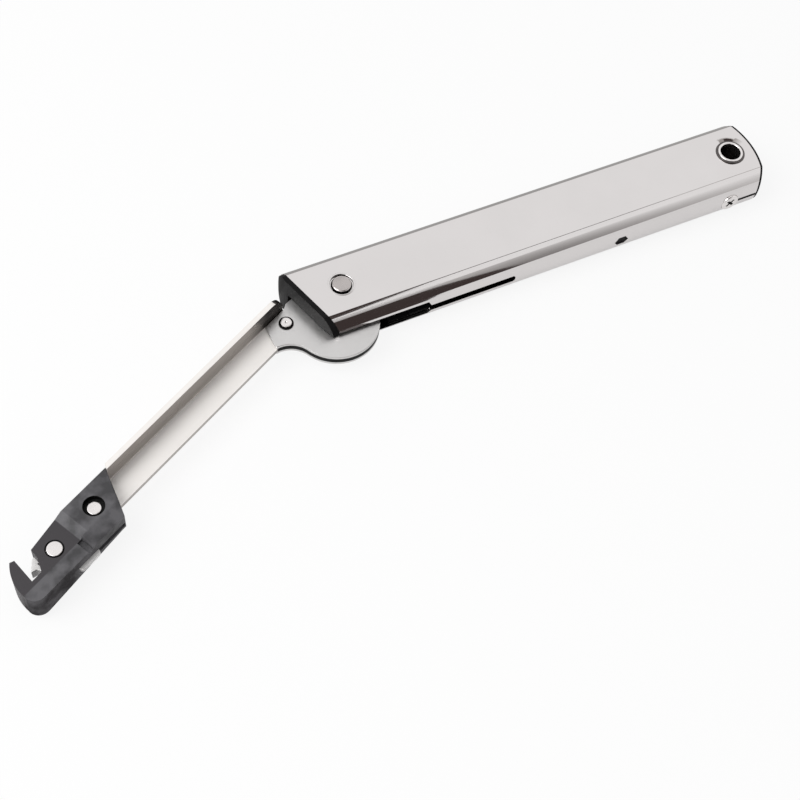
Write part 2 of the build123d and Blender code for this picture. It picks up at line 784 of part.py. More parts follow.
def hook_hollows():
    """Cuts what lies between the shells: the arm's web, the catch, its spring and its tab."""
    with BuildSketch(arm_plane.offset(core_bottom)) as profile:
        with Locations((hook_start, arm_web_edge + slide_gap)):
            Rectangle(
                arm_outer_end - hook_start + slide_gap,
                arm_web_edge - flange_inner - arm_inner_bend + 2 * slide_gap,
                align=(Align.MIN, Align.MAX),
            )
    extrude(profile.sketch, amount=core_thickness, mode=Mode.SUBTRACT)
    with BuildSketch(arm_plane.offset(core_bottom)) as profile:
        catch_outline(seat_gap, catch_travel)
    extrude(profile.sketch, amount=core_thickness, mode=Mode.SUBTRACT)
    # pocket that the nose draws back into
    with BuildSketch(arm_plane.offset(nose_bottom - seat_gap)) as profile:
        with Locations((nose_back_along - catch_travel - seat_gap, catch_far_across - seat_gap)):
            Rectangle(
                mouth_inner_rear[0] - nose_back_along + catch_travel + seat_gap,
                nose_near[1] - catch_far_across + 2 * seat_gap,
                align=(Align.MIN, Align.MIN),
            )
    extrude(profile.sketch, amount=core_top - nose_bottom + seat_gap, mode=Mode.SUBTRACT)
    with BuildSketch(arm_plane.offset(mid_height - side_slit_height / 2)) as profile:
        with Locations((side_slit_start, catch_inner_across - seat_gap)):
            Rectangle(
                tab_start + tab_length + seat_gap - side_slit_start,
                beyond,
                align=(Align.MIN, Align.MIN),
            )
    extrude(profile.sketch, amount=side_slit_height, mode=Mode.SUBTRACT)
    spring_room = catch_spring_diameter / 2 + seat_gap
    with BuildSketch(across_arm(arm_outer_end)) as profile:
        with Locations((catch_spring_across, mid_height)):
            Circle(spring_room)
    extrude(profile.sketch, amount=catch_back_along - arm_outer_end, mode=Mode.SUBTRACT)


def hook_rivet_hole(place, recess_diameter, upper_floor, lower_floor):
    """Cuts a rivet's hole, and the round recess for its head on each side."""
    with BuildSketch(arm_pin_plane(place, 0)) as profile:
        Circle(hook_rivet_shaft_diameter / 2)
    extrude(profile.sketch, amount=casing_height, mode=Mode.SUBTRACT)
    with BuildSketch(arm_pin_plane(place, upper_floor)) as profile:
        Circle(recess_diameter / 2)
    extrude(profile.sketch, amount=casing_height, mode=Mode.SUBTRACT)
    with BuildSketch(arm_pin_plane(place, lower_floor)) as profile:
        Circle(recess_diameter / 2)
    extrude(profile.sketch, amount=-casing_height, mode=Mode.SUBTRACT)


def hook_underside(along):
    """Height of the hook's sloping underside at a distance from the pivot."""
    slope = (hook_rear_bottom - hook_bottom) / (hook_slope_end - hook_slope_start)
    return hook_rear_bottom - slope * (along - hook_slope_start)


rear_floor = hook_rear_top - rear_recess_depth
rear_under = hook_underside(rear_rivet_place[0]) + hook_rivet_head_height
front_floor = hook_front_top - front_recess_depth
front_under = hook_underside(front_rivet_place[0]) + hook_rivet_head_height / 2


def hook_rivet_holes():
    """Cuts the holes of both hook rivets."""
    hook_rivet_hole(rear_rivet_place, rear_recess_diameter, rear_floor, rear_under)
    hook_rivet_hole(front_rivet_place, front_recess_diameter, front_floor, front_under)


with BuildPart() as hook_shell_upper:
    ridge_foot = hook_side_rear[1]
    with BuildSketch(across_arm(hook_start)):
        with BuildLine():
            Polyline(
                (-beyond, mid_height),
                (-beyond, hook_rear_top),
                (ridge_across, hook_rear_top),
                (ridge_foot, hook_rear_top - ridge_fall),
                (beyond, hook_rear_top - ridge_fall),
                (beyond, mid_height),
                close=True,
            )
        make_face()
    extrude(amount=hook_step_along - hook_start)
    with BuildSketch(arm_plane.offset(mid_height)):
        with Locations((hook_step_along, 0)):
            Rectangle(beyond, 3 * beyond, align=(Align.MIN, Align.CENTER))
    extrude(amount=hook_front_top - mid_height)
    with BuildSketch(arm_plane.offset(mid_height)):
        hook_outline()
    extrude(amount=hook_rear_top - mid_height, mode=Mode.INTERSECT)
    chamfer(hook_shell_upper.faces().group_by(Axis.Z)[-1].edges(), hook_edge_break)
    # ramp down to the front, beyond the ridge
    with BuildSketch(arm_side.offset(-ridge_across)):
        with BuildLine():
            Polyline(
                (hook_step_along - hook_ramp_length, hook_rear_top),
                (hook_step_along, hook_front_top),
                (hook_step_along, hook_rear_top),
                close=True,
            )
        make_face()
    extrude(amount=beyond, mode=Mode.SUBTRACT)
    # cross groove at the step, from the ridge to the side
    with BuildSketch(arm_plane.offset(hook_front_top - groove_depth)):
        with Locations((groove_start, ridge_across)):
            Rectangle(groove_width, beyond, align=(Align.MIN, Align.MIN))
    extrude(amount=casing_height, mode=Mode.SUBTRACT)
    hook_hollows()
    hook_rivet_holes()
hook_shell_upper.part.label = "hook_shell_upper"

with BuildPart() as hook_shell_lower:
    with BuildSketch(arm_side):
        with BuildLine():
            Polyline(
                (hook_start, mid_height),
                (hook_start, hook_rear_bottom),
                (hook_slope_start, hook_rear_bottom),
                (hook_slope_end, hook_bottom),
                (hook_slope_end + beyond, hook_bottom),
                (hook_slope_end + beyond, mid_height),
                close=True,
            )
        make_face()
    extrude(amount=beyond, both=True)
    with BuildSketch(arm_plane.offset(hook_bottom)):
        hook_outline()
    extrude(amount=mid_height - hook_bottom, mode=Mode.INTERSECT)
    hook_hollows()
    hook_rivet_holes()
hook_shell_lower.part.label = "hook_shell_lower"


def hook_rivet(place, head_diameter, upper_floor, lower_floor):
    """Rivet through both shells, with a low domed head on each side."""
    with BuildSketch(arm_pin_plane(place, lower_floor)) as profile:
        Circle(hook_rivet_shaft_diameter / 2)
    extrude(profile.sketch, amount=upper_floor - lower_floor)
    for foot, turn in ((upper_floor, 1), (lower_floor, -1)):
        with BuildSketch(arm_pin_plane(place, foot)) as profile:
            Circle(head_diameter / 2)
        extrude(profile.sketch, amount=turn * hook_rivet_head_height, taper=hook_rivet_head_taper)


with BuildPart() as hook_rivet_rear:
    hook_rivet(rear_rivet_place, rear_rivet_head_diameter, rear_floor, rear_under)
hook_rivet_rear.part.label = "hook_rivet_rear"

with BuildPart() as hook_rivet_front:
    hook_rivet(front_rivet_place, front_rivet_head_diameter, front_floor, front_under)
hook_rivet_front.part.label = "hook_rivet_front"

with BuildPart() as catch_slider:
    catch_thickness = core_thickness - slide_gap
    with BuildSketch(arm_plane.offset(mid_height - catch_thickness / 2)):
        catch_outline(0, 0)
        tab_edge = hook_side_rear[1] + tab_proud
        with Locations((tab_start, catch_inner_across)):
            Rectangle(tab_length, tab_edge - catch_inner_across, align=(Align.MIN, Align.MIN))
    extrude(amount=catch_thickness)
    # tall nose with a notched front
    with BuildSketch(arm_plane.offset(nose_bottom)):
        with BuildLine():
            Polyline(
                (nose_back_along, catch_far_across),
                nose_tip,
                nose_notch,
                nose_near,
                (nose_back_along, nose_near[1]),
                close=True,
            )
        make_face()
    extrude(amount=mid_height + catch_thickness / 2 - nose_bottom)
    tab_corners = catch_slider.edges().filter_by(Axis.Z).sort_by(
        lambda edge: arm_plane.to_local_coords(edge.center()).Y
    )[-2:]
    fillet(tab_corners, tab_proud)
catch_slider.part.label = "catch_slider"


with BuildPart() as catch_spring:
    spring_length = catch_back_along - arm_outer_end
    spring_start = arm_plane.from_local_coords((arm_outer_end, catch_spring_across, mid_height))
    with BuildLine() as catch_spring_path:
        Helix(
            pitch=(spring_length - catch_spring_wire) / catch_spring_coils,
            height=spring_length - catch_spring_wire,
            radius=(catch_spring_diameter - catch_spring_wire) / 2,
            center=spring_start + arm_plane.x_dir * (catch_spring_wire / 2),
            direction=arm_plane.x_dir,
        )
    catch_wire = catch_spring_path.line
    with BuildSketch(Plane(origin=catch_wire @ 0, z_dir=catch_wire % 0)):
        Circle(catch_spring_wire / 2)
    sweep(path=catch_wire, is_frenet=True)
catch_spring.part.label = "catch_spring"

# ---- Spring drive in the casing -----------------------------------------------------------

with BuildPart() as follower_block:
    with BuildSketch(Plane.YZ.offset(follower_front_x)):
        tube_section(casing_wall + moving_gap)
    extrude(amount=follower_length)
    # fork for the lever and the roller, open in front and on both sides
    fork_depth = fork_nose + roller_diameter / 2 + moving_gap
    with BuildSketch(Plane.XY.offset(mid_height - fork_slot_height / 2)):
        with Locations((follower_front_x, 0)):
            Rectangle(fork_depth, casing_width, align=(Align.MIN, Align.CENTER))
    extrude(amount=fork_slot_height, mode=Mode.SUBTRACT)
    # relief in the near side for the edge of the folded arm's web
    with BuildSketch(Plane.YZ.offset(follower_front_x)):
        with Locations((-half_width + casing_wall + follower_relief_depth, mid_height)):
            Rectangle(half_width, web_slot_height, align=(Align.MAX, Align.CENTER))
    extrude(amount=follower_length, mode=Mode.SUBTRACT)
    with BuildSketch(Plane(origin=(roller_x, 0, 0))):
        Circle(roller_pin_diameter / 2)
    extrude(amount=casing_height, mode=Mode.SUBTRACT)
    with BuildSketch(Plane.YZ.offset(follower_back_x - rod_seat_depth)):
        with Locations((0, mid_height)):
            Circle(rod_diameter / 2)
    extrude(amount=rod_seat_depth, mode=Mode.SUBTRACT)
follower_block.part.label = "follower_block"

with BuildPart() as roller_pin:
    with BuildSketch(Plane(origin=(roller_x, 0, casing_wall + 2 * moving_gap))):
        Circle(roller_pin_diameter / 2)
    extrude(amount=casing_height - 2 * (casing_wall + 2 * moving_gap))
roller_pin.part.label = "roller_pin"

with BuildPart() as follower_roller:
    roller_thickness = fork_slot_height - 2 * moving_gap
    with BuildSketch(Plane(origin=(roller_x, 0, mid_height - roller_thickness / 2))):
        Circle(roller_diameter / 2)
        Circle(roller_pin_diameter / 2 + running_gap, mode=Mode.SUBTRACT)
    extrude(amount=roller_thickness)
follower_roller.part.label = "follower_roller"

with BuildPart() as spring_guide_rod:
    rod_start_x = follower_back_x - rod_seat_depth
    rod_end_x = abutment_start_x + rod_overrun
    with BuildSketch(Plane.YZ.offset(rod_start_x)):
        with Locations((0, mid_height)):
            Circle(rod_diameter / 2)
    extrude(amount=rod_end_x - rod_start_x)
    chamfer(spring_guide_rod.edges().group_by(Axis.X)[-1], casing_wall)
spring_guide_rod.part.label = "spring_guide_rod"

with BuildPart() as spring_abutment:
    with BuildSketch(Plane.YZ.offset(abutment_start_x)):
        tube_section(casing_wall + slide_gap)
    extrude(amount=abutment_length)
    # lug in the casing's six-sided hole
    with BuildSketch(Plane.XZ.offset(half_width - casing_wall - casing_wall)):
        stake_outline(slide_gap)
    extrude(amount=casing_wall + lug_proud)
    with BuildSketch(Plane.YZ.offset(abutment_start_x)):
        with Locations((0, mid_height)):
            Circle(rod_diameter / 2 + running_gap)
    extrude(amount=abutment_length, mode=Mode.SUBTRACT)
spring_abutment.part.label = "spring_abutment"

with BuildPart() as main_spring:
    main_spring_length = abutment_start_x - follower_back_x
    spring_centre = Vector(follower_back_x + main_spring_wire / 2, 0, mid_height)
    with BuildLine() as main_spring_path:
        Helix(
            pitch=main_spring_pitch,
            height=main_spring_length - main_spring_wire,
            radius=(main_spring_diameter - main_spring_wire) / 2,
            center=spring_centre,
            direction=(1, 0, 0),
        )
    main_wire = main_spring_path.line
    with BuildSketch(Plane(origin=main_wire @ 0, z_dir=main_wire % 0)):
        Circle(main_spring_wire / 2)
    sweep(path=main_wire, is_frenet=True)
main_spring.part.label = "main_spring"

# ---- Files --------------------------------------------------------------------------------

os.makedirs("parts", exist_ok=True)
for piece in (
    casing, lever_end_cap, bore_end_cap, bore_block, bore_bush, bore_sleeve, retaining_screw,
    pivot_rivet, pivot_ring_upper, pivot_ring_lower, pivot_spacer_upper, pivot_spacer_lower,
    pivot_bush, lever_plate_upper, lever_plate_lower, cam_core, arm_rivet_outer, arm_rivet_inner,
    arm, hook_shell_upper, hook_shell_lower, hook_rivet_rear, hook_rivet_front, catch_slider,
    catch_spring, follower_block, roller_pin, follower_roller, spring_guide_rod, spring_abutment,
    main_spring,
):
    export_step(piece.part, f"parts/{piece.part.label}.step")
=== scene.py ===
"""Looks of the lid stay: finishes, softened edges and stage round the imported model.

Every size is in metres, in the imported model's own frame: the origin is on the pin bore's axis.
"""

import json
import math

import bmesh
import bpy
from mathutils import Matrix, Vector

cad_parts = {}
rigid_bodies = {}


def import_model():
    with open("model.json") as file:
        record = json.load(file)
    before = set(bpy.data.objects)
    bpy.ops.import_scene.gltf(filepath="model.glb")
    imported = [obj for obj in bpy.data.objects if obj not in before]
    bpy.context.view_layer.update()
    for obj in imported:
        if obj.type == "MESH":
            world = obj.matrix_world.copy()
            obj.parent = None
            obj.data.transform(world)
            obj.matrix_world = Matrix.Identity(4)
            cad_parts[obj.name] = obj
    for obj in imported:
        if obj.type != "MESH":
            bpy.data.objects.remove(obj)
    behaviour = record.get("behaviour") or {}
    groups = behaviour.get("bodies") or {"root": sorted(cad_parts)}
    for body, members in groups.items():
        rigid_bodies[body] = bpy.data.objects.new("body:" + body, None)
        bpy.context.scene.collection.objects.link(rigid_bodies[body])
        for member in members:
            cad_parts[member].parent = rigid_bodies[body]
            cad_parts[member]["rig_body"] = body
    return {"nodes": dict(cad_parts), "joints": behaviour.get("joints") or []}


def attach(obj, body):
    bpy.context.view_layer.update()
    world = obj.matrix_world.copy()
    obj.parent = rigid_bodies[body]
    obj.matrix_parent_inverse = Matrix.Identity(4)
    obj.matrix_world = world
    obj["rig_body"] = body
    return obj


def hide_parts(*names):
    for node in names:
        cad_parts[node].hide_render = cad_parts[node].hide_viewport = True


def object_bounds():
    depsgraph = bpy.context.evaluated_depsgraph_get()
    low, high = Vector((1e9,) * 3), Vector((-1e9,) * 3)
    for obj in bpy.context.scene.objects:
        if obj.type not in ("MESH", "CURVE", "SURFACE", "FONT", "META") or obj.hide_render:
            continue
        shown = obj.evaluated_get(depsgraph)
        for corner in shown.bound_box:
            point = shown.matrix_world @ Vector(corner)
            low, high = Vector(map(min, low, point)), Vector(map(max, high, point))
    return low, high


bl_info = {
    "name": "Lid stay",
    "version": (1, 0, 0),
    "blender": (4, 5, 0),
    "location": "3D View > Sidebar > Lid Stay",
    "description": "Builds the looks of a sprung lid stay round its packed model",
    "category": "Object",
}

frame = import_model()
CAD_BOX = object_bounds()
NODES = frame["nodes"]
JOINTS = {joint["name"]: joint for joint in frame["joints"]}
PIVOT = Vector(JOINTS["lever_pivot"]["pos_m"])
ALONG_ARM = -Vector(JOINTS["catch_slide"]["axis"])
ACROSS_ARM = Vector((0, 0, 1)).cross(ALONG_ARM)
MILLIMETRE = 0.001
MERGE_DISTANCE = 1e-6
FLAT_ANGLE = math.radians(0.4)
SHARP_ANGLE = math.radians(28)
SQUARE_ANGLE = math.radians(45)
DISH_ANGLE = math.radians(10)
WHITE = (1.0, 1.0, 1.0, 1.0)
BORE = Vector((0, 0, 0))
SCREW_X = -7.7 * MILLIMETRE
CROSS_RADIUS = 2.4 * MILLIMETRE
CROSS_START = 0.15 * MILLIMETRE
FASTENINGS_ACROSS = -7.7 * MILLIMETRE
OUTER_RIVET_ALONG = 23 * MILLIMETRE
OUTER_RIVET_HEAD = 2.15 * MILLIMETRE
HOOK_STEP_ALONG = 137.2 * MILLIMETRE
HOOK_RIDGE_ACROSS = -3.1 * MILLIMETRE
REAR_RECESS = {"along": 0.1256, "across": FASTENINGS_ACROSS, "radius": 0.00393, "below": 0.0172}
FRONT_RECESS = {"along": 0.145, "across": -0.0075, "radius": 0.00338, "below": 0.0153}


# ---- Settings -----------------------------------------------------------------------------


def length(name, description, default):
    """A length setting in metres."""
    return bpy.props.FloatProperty(
        name=name, description=description, default=default, min=0, subtype="DISTANCE", unit="LENGTH"
    )


def colour(name, description, default):
    """A linear colour setting."""
    return bpy.props.FloatVectorProperty(
        name=name, description=description, default=default, size=3, min=0, max=1, subtype="COLOR"
    )


def factor(name, description, default):
    """A setting from nought to one."""
    return bpy.props.FloatProperty(
        name=name, description=description, default=default, min=0, max=1, subtype="FACTOR"
    )


class LidStayEdges(bpy.types.PropertyGroup):
    """How far the edges of each kind of piece are rounded."""

    casing: length("Casing", "Rounding of the casing's cut edges", 0.00012)
    casing_corners: length("Casing corners", "Rounding where the flats meet the bulged sides", 0.00055)
    sheet: length("Sheet", "Rounding of the arm's and the plates' edges", 0.00022)
    moulding: length("Moulding", "Rounding of the hook shells' edges", 0.0003)
    cap: length("Cap", "Rounding of the end caps' edges", 0.0003)
    turned: length("Turned", "Rounding of rivets, rings and the screw", 0.00012)
    bush_rim: length("Bush rim", "Rounding of the bore bush's rim", 0.0003)


class LidStayTurned(bpy.types.PropertyGroup):
    """Sizes of the turned pieces."""

    top: length("Top", "Height of the casing's upper flat", 0.020)
    head_radius: length("Head radius", "Radius of the pivot's head", 0.00365)
    head_proud: length("Head proud", "How far the pivot's head stands above the casing", 0.0007)
    head_dish: length("Head dish", "Depth of the shallow dish in the pivot's head", 0.0003)
    shaft_radius: length("Shaft radius", "Radius of the pivot's shaft", 0.0035)
    groove_radius: length("Groove radius", "Outer radius of the groove round the pivot's head", 0.0045)
    # painted shade: the groove's floor inside this radius takes the dark shade colour
    painted_shade_radius: length("Dark radius", "Outer radius of the oiled part of that groove", 0.0041)
    groove_depth: length("Groove depth", "Depth of the groove round the pivot's head", 0.0007)
    ring_radius: length("Ring radius", "Outer radius of the ring round the pivot's head", 0.0053)
    ring_height: length("Ring height", "Height of the ring round the pivot's head", 0.0012)
    ring_lip: length("Ring lip", "How far the ring's lip stands above the casing", 0.0001)
    bore_radius: length("Bore radius", "Radius of the pin bore", 0.0041)
    bush_radius: length("Bush radius", "Radius of the bush's rim", 0.00515)


class LidStayFinishes(bpy.types.PropertyGroup):
    """Colours and roughness of the finishes, among them colours of painted shade and of a painted
    reflection.
    """

    casing: colour("Casing", "Polished metal of the casing", (0.70, 0.675, 0.67))
    lever: colour("Lever", "Satin zinc of the lever plates", (0.66, 0.65, 0.645))
    arm: colour("Arm", "Bright plated steel of the arm", (0.90, 0.87, 0.84))
    # flange: painted reflection, a darker colour standing for the dark surroundings seen in the flange's
    # inner side
    flange: colour("Flange", "Inner face of the arm's flange", (0.45, 0.42, 0.40))
    catch: colour("Catch", "White plating of the catch", (0.85, 0.84, 0.83))
    # bore_wall_painted_shade: painted shade, the bush's inner wall darkened where the deep bore lies in
    # shade
    bore_wall_painted_shade: colour("Bore wall", "Oiled wall of the bore's bush", (0.16, 0.155, 0.15))
    bright: colour("Bright", "Rivet heads and rings", (0.80, 0.77, 0.76))
    turned: colour("Turned", "Turned steel of the pivot's head", (0.50, 0.465, 0.455))
    # sleeve: painted shade, the sleeve darkened to stand for the shaded valley between the bush and the
    # casing
    sleeve: colour("Sleeve", "Darker steel between the bush and the casing", (0.12, 0.11, 0.108))
    hook: colour("Hook", "Grey moulding of the hook", (0.078, 0.076, 0.081))
    # hook_flat_painted_shade: painted shade, the front flat darker than the slope because light falls on it
    # less
    hook_flat_painted_shade: colour("Hook flat", "Smoother, darker front of the hook", (0.046, 0.042, 0.046))
    cap: colour("Cap", "Dark moulding of the end caps", (0.008, 0.0076, 0.008))
    # core: the cam core's black; it also serves as painted shade in the hook's recesses round the rivets
    core: colour("Core", "Black core between the plates", (0.003, 0.003, 0.003))
    # shade is painted shade: the dark colour laid in grooves, bores, recesses and the casing's inside, where
    # shade falls
    shade: colour("Shade", "Dark oiled metal in grooves and bores", (0.012, 0.011, 0.011))
    wire: colour("Wire", "Oiled spring wire", (0.22, 0.22, 0.23))
    brass: colour("Brass", "Pivot bush", (0.60, 0.44, 0.20))
    casing_roughness: factor("Casing roughness", "Roughness of the polish", 0.07)
    satin_roughness: factor("Satin roughness", "Roughness of satin zinc", 0.34)


class LidStayStage(bpy.types.PropertyGroup):
    """Camera, lights and floor."""

    camera_place: bpy.props.FloatVectorProperty(
        name="Camera place",
        description="Where the camera stands",
        default=(-0.32943, -0.28475, 0.48201),
        size=3,
        subtype="TRANSLATION",
        unit="LENGTH",
    )
    azimuth: bpy.props.FloatProperty(
        name="Azimuth",
        description="Camera's turn about the upright, 0 looks along +Y",
        default=math.radians(-33.6),
        subtype="ANGLE",
    )
    elevation: bpy.props.FloatProperty(
        name="Elevation",
        description="Camera's height above the horizon",
        default=math.radians(59.06),
        subtype="ANGLE",
    )
    roll: bpy.props.FloatProperty(
        name="Roll", description="Camera's roll", default=math.radians(9.38), subtype="ANGLE"
    )
    lens: bpy.props.FloatProperty(
        name="Lens", description="Focal length in millimetres", default=67.37, subtype="DISTANCE_CAMERA"
    )
    ambient: factor("Ambient", "Soft light from all round", 0.62)
    floor_seen: factor("Floor seen", "How white the floor is to the camera", 0.86)
    floor_mirrored: factor("Floor mirrored", "How white the floor is in reflections", 0.38)
    floor_size: length("Floor size", "Side of the floor", 8.0)
    key_power: bpy.props.FloatProperty(
        name="Key power", description="Power of the soft key lamp", default=7.0, min=0, subtype="POWER"
    )


# ---- Finishes -----------------------------------------------------------------------------


class Finish:
    """A material in the making: its shader, and short ways to add and join nodes."""

    def __init__(self, name):
        self.material = bpy.data.materials.new(name)
        self.material.use_nodes = True
        self.nodes = self.material.node_tree.nodes
        self.links = self.material.node_tree.links
        self.shader = self.nodes["Principled BSDF"]

    def add(self, kind, **values):
        """Adds a node, and sets its named inputs or properties."""
        node = self.nodes.new("ShaderNode" + kind)
        for name, value in values.items():
            label = name.replace("_", " ").title()
            if label in node.inputs:
                node.inputs[label].default_value = value
            else:
                setattr(node, name, value)
        return node

    def join(self, source, target):
        """Links an output socket to an input socket."""
        self.links.new(source, target)

    def coordinates(self, stretch=(1, 1, 1), along_arm=False):
        """Object coordinates, in the arm's own directions if asked, stretched to shape a grain."""
        place = self.add("TexCoord").outputs["Object"]
        if along_arm:
            turn = self.add("Mapping", vector_type="TEXTURE")
            turn.inputs["Location"].default_value = PIVOT
            turn.inputs["Rotation"].default_value = (0, 0, math.atan2(ALONG_ARM.y, ALONG_ARM.x))
            self.join(place, turn.inputs["Vector"])
            place = turn.outputs["Vector"]
        grain = self.add("Mapping")
        grain.inputs["Scale"].default_value = stretch
        self.join(place, grain.inputs["Vector"])
        return grain.outputs["Vector"]

    def noise(self, place, size, detail=3.0, roughness=0.5):
        """Noise whose features are about the given size in metres."""
        node = self.add("TexNoise", scale=1 / size, detail=detail, roughness=roughness)
        self.join(place, node.inputs["Vector"])
        return node.outputs["Fac"]

    def spread(self, value, low, high, start=0.3, end=0.7):
        """Maps a value from start..end to low..high."""
        node = self.add("MapRange", from_min=start, from_max=end, to_min=low, to_max=high)
        self.join(value, node.inputs["Value"])
        return node.outputs["Result"]

    def blend(self, amount, dark, light):
        """Blends two colours by an amount; each may be a colour or a socket."""
        node = self.nodes.new("ShaderNodeMix")
        node.data_type = "RGBA"
        self.join(amount, node.inputs["Factor"])
        for socket, shade in ((node.inputs[6], dark), (node.inputs[7], light)):
            if isinstance(shade, bpy.types.NodeSocket):
                self.join(shade, socket)
            else:
                socket.default_value = (*shade, 1)
        return node.outputs[2]

    def maths(self, operation, first, second):
        """Arithmetic on two values; each may be a number or a socket."""
        node = self.nodes.new("ShaderNodeMath")
        node.operation = operation
        for socket, value in zip(node.inputs, (first, second)):
            if isinstance(value, bpy.types.NodeSocket):
                self.join(value, socket)
            else:
                socket.default_value = value
        return node.outputs[0]

    def relief(self, height, strength, depth):
        """Bump on the shader, of a depth in metres."""
        node = self.add("Bump", strength=strength, distance=depth)
        self.join(height, node.inputs["Height"])
        self.join(node.outputs["Normal"], self.shader.inputs["Normal"])


def shade_of(base, share):
    """A colour made lighter or darker by a share."""
    return tuple(min(1, channel * share) for channel in base)


def metal(name, base, roughness, grain=(1, 1, 1), along_arm=False, contrast=0.06, depth=4e-6):
    """Metal with cloudy colour, a fine grain that follows the stretch, and small scuffs."""
    finish = Finish(name)
    finish.shader.inputs["Metallic"].default_value = 1.0
    plain = finish.coordinates(along_arm=along_arm)
    streaked = finish.coordinates(grain, along_arm)
    clouds = finish.noise(plain, 0.016, 4)
    lines = finish.noise(streaked, 0.0009, 5, 0.65)
    scuffs = finish.noise(plain, 0.004, 6, 0.7)
    tone = finish.blend(
        finish.spread(clouds, 0, 1), shade_of(base, 1 - contrast), shade_of(base, 1 + contrast)
    )
    finish.join(tone, finish.shader.inputs["Base Color"])
    even = finish.spread(lines, roughness * 0.8, roughness * 1.2)
    worn = finish.spread(scuffs, 0, roughness * 0.5, 0.55, 0.8)
    finish.join(finish.maths("ADD", even, worn), finish.shader.inputs["Roughness"])
    finish.relief(lines, 0.5, depth)
    return finish


def moulding(name, base, roughness, mottle, mottle_size, shine=0.3, depth=2e-5):
    """Moulded plastic with mottled tone and a fine matt texture."""
    finish = Finish(name)
    finish.shader.inputs["Specular IOR Level"].default_value = shine
    place = finish.coordinates(along_arm=True)
    patches = finish.noise(place, mottle_size, 5, 0.6)
    grit = finish.noise(place, 0.0005, 4, 0.7)
    mixed = finish.spread(patches, 0, 1, 0.35, 0.65)
    tone = finish.blend(mixed, shade_of(base, 1 - mottle), shade_of(base, 1 + mottle))
    finish.join(tone, finish.shader.inputs["Base Color"])
    finish.join(
        finish.spread(grit, roughness * 0.85, roughness * 1.15), finish.shader.inputs["Roughness"]
    )
    finish.relief(grit, 0.5, depth)
    return finish


def hook_moulding(looks, step_along=HOOK_STEP_ALONG, ridge_across=HOOK_RIDGE_ACROSS, blur=0.0002):
    """Grey moulding: mottled behind the step and on the slope; smooth on the front flat, which is painted
    darker as painted shade, for light falling on it less than on the slope.
    """
    finish = Finish("grey_moulding")
    finish.shader.inputs["Specular IOR Level"].default_value = 0.3
    place = finish.coordinates(along_arm=True)
    parts = finish.add("SeparateXYZ")
    finish.join(place, parts.inputs["Vector"])
    ahead = finish.spread(parts.outputs["X"], 0, 1, step_along - blur, step_along + blur)
    far = finish.spread(parts.outputs["Y"], 1, 0, ridge_across - blur, ridge_across + blur)
    flat = finish.maths("MULTIPLY", ahead, far)
    clouds = finish.noise(place, 0.006, 3, 0.5)
    grit = finish.noise(place, 0.0005, 4, 0.7)
    mottled = finish.blend(
        finish.spread(clouds, 0, 1, 0.38, 0.62), shade_of(looks.hook, 0.62), shade_of(looks.hook, 1.45)
    )
    # painted shade: the front flat takes the darker colour, the rest keeps the mottle
    finish.join(finish.blend(flat, mottled, looks.hook_flat_painted_shade), finish.shader.inputs["Base Color"])
    finish.join(finish.spread(grit, 0.42, 0.56), finish.shader.inputs["Roughness"])
    finish.relief(grit, 0.5, 2e-5)
    return finish


def turned_metal(name, base, roughness, centre, pitch=0.00035, depth=6e-6):
    """Metal turned on a lathe: fine rings round an upright axis, with cloudy colour."""
    finish = metal(name, base, roughness, contrast=0.08, depth=4e-6)
    middle = finish.add("Mapping")
    middle.inputs["Location"].default_value = -centre
    middle.inputs["Scale"].default_value = (1, 1, 0)
    finish.join(finish.add("TexCoord").outputs["Object"], middle.inputs["Vector"])
    distance = finish.add("VectorMath", operation="LENGTH")
    finish.join(middle.outputs["Vector"], distance.inputs[0])
    rings = finish.maths("SINE", finish.maths("MULTIPLY", distance.outputs["Value"], 2 * math.pi / pitch), 0)
    finish.relief(rings, 0.5, depth)
    return finish


def dress(finish, *pieces):
    """Gives a finish to CAD nodes or new pieces."""
    for piece in pieces:
        piece = NODES.get(piece, piece)
        slots = piece.material_slots
        if not slots:
            piece.data.materials.append(finish.material)
        for place in slots:
            place.material = finish.material


# ---- Shapes -------------------------------------------------------------------------------


def rounded(shape, edges, width, segments):
    """Rounds edges of a shape."""
    bmesh.ops.bevel(
        shape,
        geom=edges,
        offset=width,
        offset_type="OFFSET",
        segments=segments,
        profile=0.5,
        affect="EDGES",
        clamp_overlap=True,
        material=-1,
    )


def sharp_edges(shape, least):
    """Edges of a shape that turn by more than an angle."""
    return [
        edge
        for edge in shape.edges
        if len(edge.link_faces) == 2 and edge.calc_face_angle() > least
    ]


def piece_from(shape, node, sharp=SHARP_ANGLE):
    """Makes a smooth-shaded piece of a shape; it stands for a CAD node and rides with it."""
    bmesh.ops.triangulate(shape, faces=[face for face in shape.faces if len(face.verts) > 4])
    for face in shape.faces:
        face.smooth = True
    mesh = bpy.data.meshes.new(f"{node}_finished")
    shape.to_mesh(mesh)
    shape.free()
    mesh.set_sharp_from_angle(angle=sharp)
    piece = bpy.data.objects.new(f"{node}_finished", mesh)
    bpy.context.scene.collection.objects.link(piece)
    weighted = piece.modifiers.new("Weighted normals", "WEIGHTED_NORMAL")
    weighted.keep_sharp = True
    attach(piece, NODES[node]["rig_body"])
    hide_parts(node)
    return piece


def copied(node):
    """A copy of a CAD node's mesh, with its triangles joined into whole faces."""
    shape = bmesh.new()
    shape.from_mesh(NODES[node].data)
    bmesh.ops.remove_doubles(shape, verts=shape.verts, dist=MERGE_DISTANCE)
    bmesh.ops.dissolve_limit(shape, angle_limit=FLAT_ANGLE, verts=shape.verts, edges=shape.edges)
    return shape


def softened(node, width, segments=2):
    """A copy of a CAD node with its sharp edges rounded."""
    shape = copied(node)
    rounded(shape, sharp_edges(shape, SHARP_ANGLE), width, segments)
    return piece_from(shape, node)


